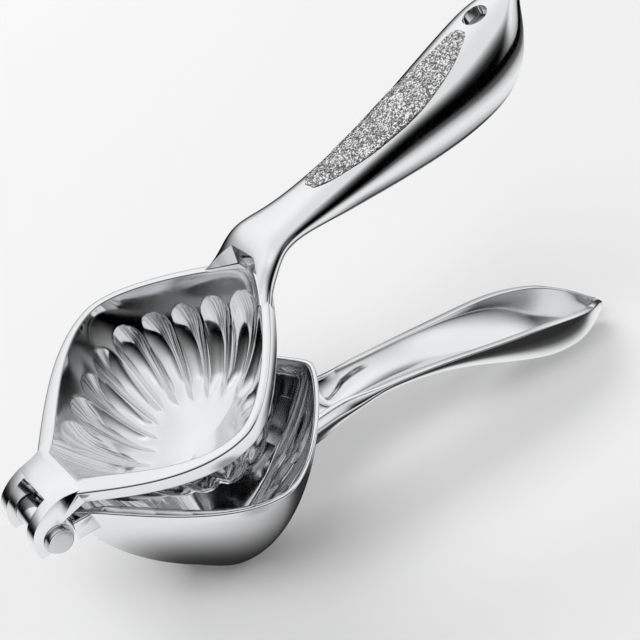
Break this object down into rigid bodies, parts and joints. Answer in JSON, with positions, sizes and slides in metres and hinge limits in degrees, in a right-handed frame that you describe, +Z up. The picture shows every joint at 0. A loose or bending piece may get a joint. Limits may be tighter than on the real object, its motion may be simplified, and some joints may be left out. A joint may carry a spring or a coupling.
{
  "type": "lemon squeezer",
  "caption": "Hinged hand-held lemon squeezer in polished cast metal, with a fluted bowl, a fluted press and two long handles, shown part open.",
  "frame": {"origin": "centre of the flat foot under the bowl", "axes": "+X from the hinge towards the handle ends, +Y across the squeezer along the hinge, +Z up"},
  "size_m": [0.1943, 0.082, 0.1189],
  "materials": {
    "cast_chrome": "polished",
    "pin_steel": "satin"
  },
  "bodies": {
    "lower": {"lower_lever": "cast_chrome"},
    "upper": {"upper_lever": "cast_chrome", "hinge_pin": "pin_steel", "pin_washer": "pin_steel"}
  },
  "joints": [
    {"name": "squeeze_hinge", "type": "hinge", "parent": "lower", "child": "upper", "pos_m": [-0.0443, 0, 0.0386], "axis": [0, -1, 0], "range_deg": [-22.5, 90]}
  ]
}
